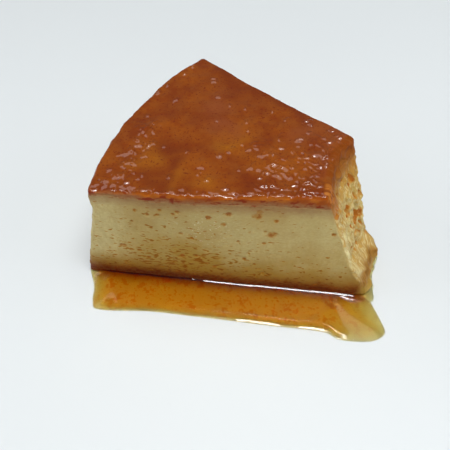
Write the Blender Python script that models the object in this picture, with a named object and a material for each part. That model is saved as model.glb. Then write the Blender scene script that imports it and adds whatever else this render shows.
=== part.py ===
"""A slice of crema volteada: set custard under a caramel top, standing in a shallow pool of its syrup.

Metres, +Z up, seen from the front along +Y. The slice comes from a ring, so its plan is worked out in
polar coordinates about the ring's axis: u runs from the outer wall (0) to the inner wall (1), and v from
the front cut (0) to the back cut (1).
"""

import math

import bpy
from mathutils import Vector, noise

# The ring that the slice was cut from
RING_AXIS = (0.0693, -0.0337)
HEIGHT = 0.048
OUTER_TOP_RADIUS = 0.1138
OUTER_LEAN = 0.2  # metres outwards for each metre down
OUTER_SLUMP = 0.00055
SLUMP_HEIGHT = 0.040
SLUMP_START = 0.008
OUTER_LIP_FRONT = 0.0008  # the upper edge leans out near the front cut and in from there on
OUTER_LIP_BACK = -0.0009
OUTER_LIP_END = 0.7
OUTER_LIP_START = 0.036
OUTER_SPREAD = 0.0019
OUTER_SPREAD_HEIGHT = 0.022
INNER_TOP_RADIUS = 0.0422
INNER_LEAN = 0.384

# The skin at the foot of the inner wall, which spreads outwards
FOOT_SPREAD_FRONT = 0.0048
FOOT_SPREAD_BACK = 0.0034
FOOT_HEIGHT_FRONT = 0.0140
FOOT_HEIGHT_BACK = 0.0125
FOOT_STEEPNESS_FRONT = 1.2
FOOT_STEEPNESS_BACK = 3.2

# The two knife cuts, as angles about the ring's axis and distances off those lines
FRONT_CUT = math.radians(177.0)
BACK_CUT = math.radians(136.7)
FRONT_TOP_OFFSET = -0.0007
FRONT_BASE_OFFSET = 0.0039
FRONT_BASE_TWIST = 0.0772  # metres back for each metre out from the inner foot
INNER_FOOT_RADIUS = 0.029
FRONT_BOW = 0.0014
BACK_BOW = 0.0010
BACK_STEP = 0.0014

# Rounded edges
TOP_ROUND = 0.0011
OUTER_BASE_ROUND = 0.0016
INNER_BASE_ROUND = 0.0012
CUT_BASE_ROUND = 0.0012
CORNER_ROUND = 0.0012
BACK_CORNER_ROUND = 0.0026  # the corner of the back cut and the inner wall
ROUND_POWER = 2.0

# The toe: the front corner of the foot, which is cut back towards the base
TOE_HEIGHT = 0.0090
TOE_ACROSS = 0.0110
TOE_ALONG = 0.0062
TOE_POWER = 1.25

# The caramel layer, from the outer wall to the inner one, and the gap that keeps two pieces apart
CARAMEL_OUTER = 0.0015
CARAMEL_MIDDLE = 0.0032
CARAMEL_INNER = 0.0046
CARAMEL_MIDDLE_FROM = 0.4
CARAMEL_MIDDLE_TO = 0.7
CARAMEL_WAVE = (0.0005, 0.0060)
GAP = 0.0003
SYRUP_GAP = 0.0004

# Relief: how deep each face is and how wide its lumps are
INNER_CRAG = (0.0013, 0.0052)
INNER_GRAIN = (0.0007, 0.0024)
OUTER_DIMPLE = (0.0005, 0.0060)
CUT_WAVE = (0.00025, 0.0110)
TOP_SWELL = (0.00045, 0.0100)
TOP_BUMP = (0.00025, 0.0042)

# The syrup: its depths, its edges, and the front edge as points from the ring's axis, left to right
CONTACT_FRONT = 0.0024
CONTACT_HEM = 0.0007
POOL_DEPTH = 0.0018
HEM_DEPTH = 0.0009
CLIMB_REACH = 0.0008  # the syrup climbs the slice within about this distance
EDGE_ROUND = 0.0012
EDGE_STEPS = (0.0012, 0.0005, 0.00015)
CLIMB_STEPS = (0.0005, 0.0014)
FULL_SECTION = 0.0034  # where the syrup is narrower than this, its section shrinks with it
POOL_EDGE = (
    (-0.1217, 0.0030),
    (-0.1213, -0.0030),
    (-0.1182, -0.0066),
    (-0.1001, -0.0075),
    (-0.0857, -0.0094),
    (-0.0709, -0.0115),
    (-0.0577, -0.0135),
    (-0.0473, -0.0148),
    (-0.0385, -0.0163),
    (-0.0341, -0.0190),
    (-0.0240, -0.0198),
    (-0.0182, -0.0168),
    (-0.0188, -0.0111),
    (-0.0206, -0.0047),
)
HEM_OUTER = (0.0004, 0.0016)
HEM_OUTER_START = 0.3
HEM_BACK = (0.0007, 0.0022)
HEM_INNER = (0.0004, 0.0010)
HEM_TOE = 0.0045
HEM_TOE_END = 0.32
HEM_LUMP = 0.009

# Steps of the meshes
RADIAL_STEPS = 22
ANGLE_STEPS = 26
WALL_STEPS = 15
CROWDING = 0.72
CONTACT_STEPS = 3


def mix(a, b, t):
    return a + (b - a) * t


def smooth_step(t):
    t = min(1.0, max(0.0, t))
    return t * t * (3.0 - 2.0 * t)


def lump(point, relief, seed):
    """Height of a random relief of (depth, width) at a point."""
    depth, width = relief
    return depth * noise.noise(point / width + Vector((seed, -seed, 2.3 * seed)))


def crowded(steps):
    """Fractions from 0 to 1 that lie closer together near both ends."""
    even = [k / steps for k in range(steps + 1)]
    return [round(t - CROWDING * math.sin(2.0 * math.pi * t) / (2.0 * math.pi), 9) for t in even]


def base_round(z, radius):
    """How far a rounded lower edge draws in at height z."""
    if z >= radius:
        return 0.0
    return radius - math.sqrt(radius**2 - (radius - z) ** 2)


def outer_radius(v, z):
    slump = OUTER_SLUMP * math.sin(2.0 * math.pi * (z - SLUMP_START) / SLUMP_HEIGHT)
    lip = mix(OUTER_LIP_FRONT, OUTER_LIP_BACK, smooth_step(v / OUTER_LIP_END))
    lip *= smooth_step((z - OUTER_LIP_START) / (HEIGHT - OUTER_LIP_START))
    foot = OUTER_SPREAD * smooth_step(1.0 - z / OUTER_SPREAD_HEIGHT)
    radius = OUTER_TOP_RADIUS + OUTER_LEAN * (HEIGHT - z) + lip + slump + foot
    return radius - base_round(z, OUTER_BASE_ROUND)


def inner_radius(v, z):
    foot_height = mix(FOOT_HEIGHT_FRONT, FOOT_HEIGHT_BACK, v)
    steepness = mix(FOOT_STEEPNESS_FRONT, FOOT_STEEPNESS_BACK, v)
    spread = mix(FOOT_SPREAD_FRONT, FOOT_SPREAD_BACK, v**2)
    foot = spread * smooth_step(steepness * (1.0 - z / foot_height))
    lean = INNER_LEAN * (HEIGHT - z)
    return INNER_TOP_RADIUS - lean - foot + base_round(z, INNER_BASE_ROUND)


def front_angle(radius, u, z):
    """The front cut twists: it stands back at the outer wall's base and forward at the inner foot."""
    base = FRONT_BASE_OFFSET - FRONT_BASE_TWIST * (radius - INNER_FOOT_RADIUS)
    bow = FRONT_BOW * math.sin(math.pi * u) * z / HEIGHT
    offset = mix(base, FRONT_TOP_OFFSET, z / HEIGHT) + bow - base_round(z, CUT_BASE_ROUND)
    return FRONT_CUT + offset / radius


def back_angle(radius, u, z):
    bow = BACK_BOW * math.sin(math.pi * u) * z / HEIGHT
    offset = bow - BACK_STEP + base_round(z, CUT_BASE_ROUND)
    return BACK_CUT + offset / radius


def corner_shape(inner, front, z):
    """The rounding in plan of one corner: its reach across and along the slice, and its power, which is
    2 for a round corner and 1 for a straight one.
    """
    if not inner:
        return CORNER_ROUND, CORNER_ROUND, ROUND_POWER
    if not front:
        return BACK_CORNER_ROUND, BACK_CORNER_ROUND, ROUND_POWER
    toe = max(0.0, 1.0 - z / TOE_HEIGHT)
    across = mix(CORNER_ROUND, TOE_ACROSS, toe)
    along = mix(CORNER_ROUND, TOE_ALONG, toe)
    return across, along, mix(ROUND_POWER, TOE_POWER, toe)


def plan(u, v, z, inset=0.0):
    """The point of the slice at (u, v) and height z, with the outward direction there and the share of
    each face in it: (inner wall, outer wall, cuts). Points away from the walls have no outward share.
    """
    outer = outer_radius(v, z) - inset
    inner = inner_radius(v, z) + inset
    radius = mix(outer, inner, u)
    front = front_angle(radius, u, z) - inset / radius
    back = back_angle(radius, u, z) + inset / radius
    across = outer - inner
    along = radius * (front - back)

    reach_across, reach_along, power = corner_shape(u > 0.5, v < 0.5, z)
    to_inner = max(0.0, 1.0 - (1.0 - u) * across / reach_across)
    to_outer = max(0.0, 1.0 - u * across / reach_across)
    to_front = max(0.0, 1.0 - v * along / reach_along)
    to_back = max(0.0, 1.0 - (1.0 - v) * along / reach_along)
    inward = to_inner - to_outer
    backward = to_back - to_front
    largest = max(abs(inward), abs(backward))
    turn = 0.0
    if largest > 0.0:
        length = (abs(inward) ** power + abs(backward) ** power) ** (1.0 / power)
        shrink = largest / length - 1.0
        radius -= reach_across * shrink * inward
        turn = reach_along * shrink * backward / radius

    angle = mix(front, back, v) - turn
    toward_axis = Vector((-math.cos(angle), -math.sin(angle), 0.0))
    toward_back = Vector((math.sin(angle), -math.cos(angle), 0.0))
    outward = toward_axis * inward + toward_back * backward
    if largest > 0.0:
        outward.normalize()
    point = Vector((radius * math.cos(angle), radius * math.sin(angle), z))
    return point, outward, (to_inner, to_outer, max(to_front, to_back))


def surface(u, v, z, inset=0.0):
    """A point of the slice's skin, with the relief of its face, and the outward direction there."""
    point, outward, (inner, outer, cut) = plan(u, v, z, inset)
    relief = inner * (lump(point, INNER_CRAG, 3.1) + lump(point, INNER_GRAIN, 7.7))
    relief += outer * lump(point, OUTER_DIMPLE, 11.3)
    relief += cut * lump(point, CUT_WAVE, 17.9)
    return point + outward * (relief / max(1.0, inner + outer + cut)), outward


def interface_height(u, v):
    """Height of the caramel's underside, which hangs lower towards the inner wall."""
    point, _, _ = plan(u, v, HEIGHT)
    thickness = mix(CARAMEL_OUTER, CARAMEL_MIDDLE, smooth_step(u / CARAMEL_MIDDLE_FROM))
    deepening = smooth_step((u - CARAMEL_MIDDLE_TO) / (1.0 - CARAMEL_MIDDLE_TO))
    thickness += (CARAMEL_INNER - CARAMEL_MIDDLE) * deepening
    return HEIGHT - thickness - lump(point, CARAMEL_WAVE, 5.0)


def perimeter():
    """The (u, v) of the points round the slice, counter-clockwise seen from above."""
    across = crowded(RADIAL_STEPS)
    along = crowded(ANGLE_STEPS)
    front = [(u, 0.0) for u in across[:-1]]
    inner = [(1.0, v) for v in along[:-1]]
    back = [(u, 1.0) for u in reversed(across[1:])]
    outer = [(0.0, v) for v in reversed(along[1:])]
    return front + inner + back + outer


def add_rings(vertices, rings):
    """Adds rings of points, and returns the first index of each."""
    starts = []
    for ring in rings:
        starts.append(len(vertices))
        vertices.extend(ring)
    return starts


def band(low, high, count):
    """Faces between two rings of equal count, the second above the first, facing outwards."""
    return [
        (low + k, low + (k + 1) % count, high + (k + 1) % count, high + k)
        for k in range(count)
    ]


def cap(vertices, rim_start, point_at, facing_up):
    """Fills a rim with the (u, v) grid: its inner points come from point_at, its outer ones are the rim's."""
    across = crowded(RADIAL_STEPS)
    along = crowded(ANGLE_STEPS)
    index = {uv: rim_start + k for k, uv in enumerate(perimeter())}
    for u in across[1:-1]:
        for v in along[1:-1]:
            index[(u, v)] = len(vertices)
            vertices.append(point_at(u, v))
    faces = []
    for u0, u1 in zip(across, across[1:]):
        for v0, v1 in zip(along, along[1:]):
            face = (index[(u0, v0)], index[(u1, v0)], index[(u1, v1)], index[(u0, v1)])
            faces.append(face if facing_up else face[::-1])
    return faces


def new_object(name, vertices, faces, material):
    mesh = bpy.data.meshes.new(name)
    mesh.from_pydata(vertices, [], faces)
    mesh.update()
    mesh.shade_smooth()
    mesh.set_sharp_from_angle(angle=math.radians(50.0))
    mesh.materials.append(material)
    obj = bpy.data.objects.new(name, mesh)
    obj.location = (*RING_AXIS, 0.0)
    bpy.context.scene.collection.objects.link(obj)
    return obj


def new_material(name, color, roughness, coat=0.0):
    material = bpy.data.materials.new(name)
    material.use_nodes = True
    shader = material.node_tree.nodes["Principled BSDF"]
    shader.inputs["Base Color"].default_value = (*color, 1.0)
    shader.inputs["Roughness"].default_value = roughness
    shader.inputs["Metallic"].default_value = 0.0
    shader.inputs["Coat Weight"].default_value = coat
    return material


def custard_levels(u, v):
    """Heights of the custard's rings: the ones that the syrup touches, then even steps to the caramel."""
    contact = [CONTACT_FRONT * k / CONTACT_STEPS for k in range(CONTACT_STEPS + 1)]
    top = interface_height(u, v) - GAP
    rest = [mix(CONTACT_FRONT, top, k / WALL_STEPS) for k in range(1, WALL_STEPS + 1)]
    return contact + rest


def make_custard():
    """The body of the slice, flat underneath, up to the caramel."""
    around = perimeter()
    columns = [[surface(u, v, z)[0] for z in custard_levels(u, v)] for u, v in around]
    vertices = []
    starts = add_rings(vertices, zip(*columns))
    faces = [tuple(reversed(range(len(around))))]
    for low, high in zip(starts, starts[1:]):
        faces += band(low, high, len(around))

    def top_point(u, v):
        return surface(u, v, interface_height(u, v) - GAP)[0]

    faces += cap(vertices, starts[-1], top_point, facing_up=True)
    material = new_material("custard", (0.58, 0.47, 0.22), 0.55)
    return new_object("custard", vertices, faces, material)


def crown(u, v, turn):
    """A point of the caramel's rounded edge, from turn 0 on its side to a quarter turn on its top, with
    the low bumps of its surface.
    """
    z = HEIGHT - TOP_ROUND * (1.0 - math.sin(turn))
    point, _ = surface(u, v, z, TOP_ROUND * (1.0 - math.cos(turn)))
    bumps = lump(point, TOP_SWELL, 23.3) + lump(point, TOP_BUMP, 29.1)
    point.z += smooth_step(math.sin(turn)) * bumps
    return point


def make_caramel():
    """The caramel layer: it covers the custard and shows as a band above it on every side."""
    around = perimeter()
    rings = [[surface(u, v, interface_height(u, v))[0] for u, v in around]]
    middle = [0.5 * (interface_height(u, v) + HEIGHT - TOP_ROUND) for u, v in around]
    rings.append([surface(u, v, z)[0] for (u, v), z in zip(around, middle)])
    for degrees in (0.0, 32.0, 62.0, 90.0):
        rings.append([crown(u, v, math.radians(degrees)) for u, v in around])
    vertices = []
    starts = add_rings(vertices, rings)
    faces = []
    for low, high in zip(starts, starts[1:]):
        faces += band(low, high, len(around))

    def under_point(u, v):
        return surface(u, v, interface_height(u, v))[0]

    def top_point(u, v):
        return crown(u, v, 0.5 * math.pi)

    faces += cap(vertices, starts[0], under_point, facing_up=False)
    faces += cap(vertices, starts[-1], top_point, facing_up=True)
    material = new_material("caramel", (0.30, 0.07, 0.012), 0.25, coat=0.6)
    return new_object("caramel_top", vertices, faces, material)


def curve_through(points, t):
    """A smooth curve through the points, at fraction t of its spans."""
    spans = len(points) - 1
    k = min(spans - 1, int(t * spans))
    s = t * spans - k
    before = Vector(points[max(0, k - 1)])
    start = Vector(points[k])
    end = Vector(points[k + 1])
    after = Vector(points[min(spans, k + 2)])
    return 0.5 * (
        2.0 * start
        + (end - before) * s
        + (2.0 * before - 5.0 * start + 4.0 * end - after) * s**2
        + (3.0 * start - before - 3.0 * end + after) * s**3
    )


def hem_edge(u, v):
    """Where the narrow hem of syrup ends, on the sides other than the front."""
    point, outward = surface(u, v, CONTACT_HEM)
    share = 0.5 + lump(point, (0.5, HEM_LUMP), 4.0)
    extra = 0.0
    if u == 0.0:
        low, high = HEM_OUTER
        share *= smooth_step(v / HEM_OUTER_START)
    elif u == 1.0:
        low, high = HEM_INNER
        extra = HEM_TOE * smooth_step(1.0 - v / HEM_TOE_END)
    else:
        low, high = HEM_BACK
    edge = point + outward * (SYRUP_GAP + mix(low, high, share) + extra)
    return Vector((edge.x, edge.y, 0.0))


def syrup_edge(u, v):
    """Where the syrup ends, opposite the point of the slice at (u, v)."""
    if v > 0.0 or u in (0.0, 1.0):
        return hem_edge(u, v)
    front = [Vector((x, y, 0.0)) for x, y in POOL_EDGE]
    return curve_through([hem_edge(0.0, 0.0), *front, hem_edge(1.0, 0.0)], u)


def contact_height(u, v):
    """How high the syrup climbs the slice: high along the front pool, low along the hem."""
    if v > 0.0:
        return CONTACT_HEM
    ends = min(smooth_step(u / 0.08), smooth_step((1.0 - u) / 0.14))
    return mix(CONTACT_HEM, CONTACT_FRONT, ends)


def syrup_section(u, v):
    """The closed section of the syrup at one point round the slice, from the wall's foot over to its edge."""
    contact = contact_height(u, v)
    depth = mix(HEM_DEPTH, POOL_DEPTH, (contact - CONTACT_HEM) / (CONTACT_FRONT - CONTACT_HEM))
    section = []
    for k in range(CONTACT_STEPS + 1):
        point, outward = surface(u, v, contact * k / CONTACT_STEPS)
        section.append(point + outward * SYRUP_GAP)
    wall = section[-1]
    edge = syrup_edge(u, v)
    run = Vector((edge.x - wall.x, edge.y - wall.y, 0.0))
    width = run.length
    scale = min(1.0, width / FULL_SECTION)
    from_wall = [step * scale for step in CLIMB_STEPS] + [0.5 * width]
    from_edge = [width - step * scale for step in EDGE_STEPS]
    for distance in from_wall + from_edge:
        climb = (contact - depth) * math.exp(-distance / CLIMB_REACH)
        inset = (width - distance) / (EDGE_ROUND * scale)
        rounding = math.sqrt(1.0 - (1.0 - min(1.0, inset)) ** 2)
        point = wall + run * (distance / width)
        point.z = (depth + climb) * rounding
        section.append(point)
    section.append(edge)
    return section


def make_syrup():
    """The pool of syrup in front of the slice, and the narrow hem that it makes round the other sides."""
    sections = [syrup_section(u, v) for u, v in perimeter()]
    count = len(sections)
    vertices = []
    starts = add_rings(vertices, zip(*sections))
    faces = []
    for low, high in zip(starts, starts[1:] + starts[:1]):
        faces += [face[::-1] for face in band(low, high, count)]
    material = new_material("syrup", (0.42, 0.14, 0.008), 0.12, coat=1.0)
    return new_object("syrup_pool", vertices, faces, material)


def main():
    for obj in list(bpy.data.objects):
        bpy.data.objects.remove(obj)
    make_custard()
    make_caramel()
    make_syrup()


main()
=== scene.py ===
"""Looks of a slice of crema volteada: the custard, its caramel top and the syrup that it stands in.

Metres, +Z up. The pieces repeat the formulas of the solids, in plan coordinates about the axis of the ring
that the slice was cut from: u runs from the outer wall (0) to the inner wall (1), and v from the front cut
(0) to the back cut (1). Each piece's object sits on that axis, so its own coordinates start there.
"""

import math

import bpy
import numpy as np
from mathutils import Matrix, Vector, noise


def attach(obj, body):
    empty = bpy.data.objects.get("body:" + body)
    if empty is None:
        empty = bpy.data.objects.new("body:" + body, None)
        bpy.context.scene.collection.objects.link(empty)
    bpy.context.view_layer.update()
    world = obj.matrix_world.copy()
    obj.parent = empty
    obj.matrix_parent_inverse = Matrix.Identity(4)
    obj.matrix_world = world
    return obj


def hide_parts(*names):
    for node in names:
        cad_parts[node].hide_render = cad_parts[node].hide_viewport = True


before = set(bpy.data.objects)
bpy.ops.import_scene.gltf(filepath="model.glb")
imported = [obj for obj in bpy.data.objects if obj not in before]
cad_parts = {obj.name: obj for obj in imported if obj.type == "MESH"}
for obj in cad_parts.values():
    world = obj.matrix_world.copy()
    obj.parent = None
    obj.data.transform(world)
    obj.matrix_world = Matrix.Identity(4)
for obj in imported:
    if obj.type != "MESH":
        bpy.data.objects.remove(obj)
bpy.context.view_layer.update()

# The slice and its ring, as the solids have them. Pairs are for front and back, but for the axis's (x, y)
# and the last seven, which are a relief's (depth, width).
RING_AXIS = (0.0693, -0.0337)
HEIGHT = 0.048
OUTER_TOP_RADIUS = 0.1138
OUTER_LEAN = 0.2
OUTER_SLUMP = 0.00055
SLUMP_HEIGHT = 0.04
SLUMP_START = 0.008
OUTER_LIP = (0.0008, -0.0009)
OUTER_LIP_END = 0.7
OUTER_LIP_START = 0.036
OUTER_SPREAD = 0.0019
OUTER_SPREAD_HEIGHT = 0.022
INNER_TOP_RADIUS = 0.0422
INNER_LEAN = 0.384
FOOT_SPREAD = (0.0048, 0.0034)
FOOT_HEIGHT = (0.014, 0.0125)
FOOT_STEEPNESS = (1.2, 3.2)
FRONT_CUT = math.radians(177.0)
BACK_CUT = math.radians(136.7)
FRONT_TOP_OFFSET = -0.0007
FRONT_BASE_OFFSET = 0.0039
FRONT_BASE_TWIST = 0.0772
INNER_FOOT_RADIUS = 0.029
FRONT_BOW = 0.0014
BACK_BOW = 0.001
BACK_STEP = 0.0014
TOP_ROUND = 0.0011
OUTER_BASE_ROUND = 0.0016
INNER_BASE_ROUND = 0.0012
CUT_BASE_ROUND = 0.0012
CORNER_ROUND = 0.0012
BACK_CORNER_ROUND = 0.0026
ROUND_POWER = 2.0
TOE_HEIGHT = 0.009
TOE_ACROSS = 0.011
TOE_ALONG = 0.0062
TOE_POWER = 1.25
CARAMEL_OUTER = 0.0015
CARAMEL_MIDDLE = 0.0032
CARAMEL_INNER = 0.0046
CARAMEL_MIDDLE_FROM = 0.4
CARAMEL_MIDDLE_TO = 0.7
CARAMEL_WAVE = (0.0005, 0.006)
INNER_CRAG = (0.0013, 0.0052)
INNER_GRAIN = (0.0007, 0.0024)
OUTER_DIMPLE = (0.0005, 0.006)
CUT_WAVE = (0.00025, 0.011)
TOP_SWELL = (0.00045, 0.01)
TOP_BUMP = (0.00025, 0.0042)

# The syrup: the solid's outline, but for less of it beside the toe
CONTACT_FRONT = 0.0024
CONTACT_HEM = 0.0007
POOL_DEPTH = 0.0018
POOL_EDGE = (
    (-0.1217, 0.003), (-0.1213, -0.003), (-0.1182, -0.0066), (-0.1001, -0.0075), (-0.0857, -0.0094),
    (-0.0709, -0.0115), (-0.0577, -0.0135), (-0.0473, -0.0148), (-0.0385, -0.0163), (-0.0341, -0.019),
    (-0.024, -0.0198), (-0.0182, -0.0168), (-0.0188, -0.0111), (-0.0206, -0.0047),
)
HEM_OUTER = (0.0004, 0.0016)
HEM_OUTER_START = 0.3
HEM_BACK = (0.0007, 0.0022)
HEM_INNER = (0.0004, 0.001)
HEM_TOE = 0.0032
HEM_TOE_END = 0.32
HEM_LUMP = 0.009
HEM_FILM = 0.0001
HEM_CLIMB = 0.0003
SYRUP_GAP = 0.0004
SYRUP_OVERLAP = 0.00025
CLIMB_WIDTH = 0.003
CLIMB_RISE = ((0.0, 0.14, 0.33, 1.0), (1.0, 0.8, 0.43, 0.0))
OUTER_CLIMB_END = 0.08
INNER_CLIMB_END = 0.09
TOE_CLIMB = 0.2
TOE_CLIMB_END = 0.25
# How far from the slice the syrup carries a painted shade and painted reflection of the slice's dark foot
WALL_SHADE_WIDTH = 0.0052

# How the pool deepens from its edge, as (taper, ways in as shares of it, shares of the depth). The arcs
# stand at (middle, reach) along the edge, and deepen as (ways in, shares of the depth).
EDGE_RISE = (0.0021, (0.0, 0.05, 0.28, 1.0), (0.0, 0.14, 0.17, 1.0))
EDGE_ARCS = ((-0.0618, 0.01), (-0.043, 0.0062))
ARC_SHIFT = 0.00045
ARC_RISE = ((0.0, 0.0001, 0.0003, 0.0011, 0.0024), (0.0, 0.14, 0.16, 0.32, 1.0))
LEFT_X = (-0.112, -0.118)
LEFT_RISE = (0.0065, (0.0, 0.05, 0.5, 1.0), (0.0, 0.24, 0.62, 1.0))
LOBE_X = (-0.042, -0.028)
LOBE_RISE = (0.012, (0.0, 0.04, 0.12, 0.4, 1.0), (0.0, 0.14, 0.2, 0.42, 1.0))

# Steps of the fine meshes, and how much they crowd together
RADIAL_STEPS = 280
ANGLE_STEPS = 180
CUSTARD_RINGS = 96
CARAMEL_RINGS = 14
FILLET_RINGS = 12
SYRUP_FRONT_STEPS = 300
SYRUP_SIDE_STEPS = 90
SYRUP_RUN_STEPS = 90
CROWDING = 0.4
RING_CROWDING = 0.32
SYRUP_CROWDING = 0.85

# Relief of the torn inner wall, as (depth, width) or (depth, width across, width up), and the values
# between which a share grows from 0 to 1
TORN_LUMP = (0.0004, 0.0016)
TORN_GRAIN = (0.00022, 0.0008)
TORN_STREAK = (0.00034, 0.0009, 0.004)
CORNER_CRUMB = (0.0007, 0.0017)
TORN_START = (-0.0012, 0.0028)
STREAK_HEIGHTS = (0.01, 0.022)
FIBRE_RADIUS = 0.03
FIBRE_SLANT = 0.9
FIBRE_BEND = 0.015
STRAND_DEGREES = (165.0, 172.0)
STRAND_HEIGHTS = (0.035, 0.041)
PIT_DEPTH = 0.0006
PIT_WIDTH = (0.002, 0.0034)
PIT_CUTOFF = (0.36, 0.61)
PIT_HEIGHTS = (0.009, 0.013)
PIT_RAGGEDNESS = (0.7, 0.0012)
PIT_TALLNESS = 1.2
PIT_EDGE = (1.25, 0.75)
SKIN_HEIGHTS = (0.0101, 0.0083)
SKIN_WAVE = (0.002, 0.005)
SKIN_SMOOTHNESS = 0.85
HORN_PLACE = (143.5, 0.0088, 0.0016)
HORN_FADE = (0.0009, 0.004)
HORN_HEIGHT = 0.0014

# Relief of the cuts and of the outer wall
CUT_RIPPLE = (0.0001, 0.003)
CUT_GRAIN = (0.00005, 0.0009)
OUTER_BUMP = (0.00022, 0.0022)
TORN_CORNER = 0.7
HOLE_DEPTH = 0.00026
HOLE_SQUASH = 0.85
PORE_DEPTH = 0.0001
PORE_SQUASH = 0.55
PORE_SHARE = 0.5

# Relief of the top
CREST_REACH = 0.0028
CREST_SCALLOP = (0.0006, 0.0026)
CREST_NICK = (0.00025, 0.0012)
WRINKLE_DEPTH = 0.00034
WRINKLE = (1.0, 0.003)
WRINKLE_SHARPNESS = 3.0
FINE_WRINKLE = (0.00024, 0.0016)
FINE_WRINKLE_BASE = 0.1
ROUGH_GAIN = 1.5
MARK_HEIGHT = (0.00032, 0.0005)
MARK_BACK = 0.07
MARK_WIDTH = 0.00055
MARK_BEND = (0.0008, 0.0018)
PATCH_WARP = (0.006, 0.008)
CHANNEL_REACH = 0.0035
FAR_ABOVE = 0.01

# Tones of the cuts: pale zones, as (radii from none to full, heights likewise, share), and soft clouds
PALE_ZONES = (((0.1, 0.114), (0.008, 0.02), 1.0), ((0.048, 0.038), (0.009, 0.021), 0.5))
TONE_CLOUDS = {
    "pale": ((0.058, 0.015, 0.026, 0.01, 0.55),),
    "gold": ((0.094, 0.025, 0.018, 0.013, 1.0),),
    # The next cloud is where pale specks are painted as highlights of the wet cut
    "painted_glint_zone": ((0.08, 0.008, 0.032, 0.007, 1.0),),
    "crowd": (
        (0.091, 0.029, 0.014, 0.015, 1.0),
        (0.058, 0.024, 0.009, 0.01, 0.7),
        (0.092, 0.024, 0.034, 0.008, 0.4),
    ),
}
PORE_CLOUDS = ((0.086, 0.024, 0.014, 0.011, 1.0),)

# Random pores of a cut and random ridges of the top; a few stand outside their clouds or patches
PORE_COUNT = 420
PORE_RADII = (0.034, 0.118)
PORE_HEIGHTS = (0.004, 0.042)
PORE_SIZES = (0.00035, 0.0009)
PORES_ELSEWHERE = 0.04
LOOSE_MARKS = 90
LOOSE_RADII = (0.04, 0.114)
LOOSE_LENGTHS = (0.0003, 0.001)
LOOSE_DEGREES = (-30.0, 80.0)
LOOSE_ELSEWHERE = 0.15

# Colours of the torn wall and of the cut custard from the base up, as (height, colour)
WALL_COLOURS = (
    (0.0, (0.22, 0.07, 0.009)),
    (0.004, (0.36, 0.2, 0.038)),
    (0.009, (0.42, 0.27, 0.082)),
    (0.017, (0.45, 0.335, 0.122)),
    (0.024, (0.51, 0.39, 0.145)),
    (0.033, (0.47, 0.32, 0.092)),
    (0.0375, (0.43, 0.24, 0.05)),
    (0.041, (0.34, 0.145, 0.024)),
    (0.0445, (0.245, 0.072, 0.009)),
    (0.048, (0.2, 0.044, 0.004)),
)
CUT_COLOURS = (
    (0.0018, (0.16, 0.022, 0.0012)),
    (0.0038, (0.125, 0.016, 0.0012)),
    (0.0058, (0.2, 0.055, 0.006)),
    (0.0088, (0.3, 0.16, 0.028)),
    (0.014, (0.35, 0.22, 0.05)),
    (0.021, (0.395, 0.275, 0.082)),
    (0.029, (0.412, 0.3, 0.106)),
    (0.044, (0.4, 0.28, 0.1)),
)

# Places on the top, as (x, y, reach) from the ring's axis, and a dark path across it, as (x, y)
ROUGH_PATCHES = (
    (-0.061, 0.024, 0.005), (-0.057, 0.015, 0.006), (-0.047, 0.02, 0.006), (-0.041, 0.024, 0.006),
    (-0.05, 0.008, 0.006), (-0.037, 0.028, 0.005), (-0.059, 0.007, 0.005), (-0.099, 0.035, 0.004),
    (-0.099, 0.026, 0.004), (-0.104, 0.019, 0.004), (-0.105, 0.011, 0.004),
)
DARK_PATCHES = (
    (-0.0921, 0.0242, 0.0045), (-0.0905, 0.0172, 0.004), (-0.093, 0.0107, 0.005), (-0.072, 0.064, 0.007),
    (-0.0637, 0.0549, 0.007), (-0.067, 0.009, 0.0045),
)
OCHRE_PATCHES = (
    (-0.0975, 0.0215, 0.0045), (-0.0885, 0.0115, 0.004), (-0.0785, 0.011, 0.004), (-0.07, 0.026, 0.005),
    (-0.038, 0.012, 0.004),
)
# Patches of the top where a greyish haze is painted as a reflection, as (x, y, reach)
PAINTED_SHEEN_PATCHES = (
    (-0.076, 0.047, 0.006), (-0.074, 0.036, 0.005), (-0.045, 0.0335, 0.006), (-0.036, 0.029, 0.006),
    (-0.04, 0.017, 0.005),
)
DARK_CHANNEL = ((-0.076, 0.068), (-0.069, 0.061), (-0.06, 0.053), (-0.052, 0.047), (-0.044, 0.038))

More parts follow.
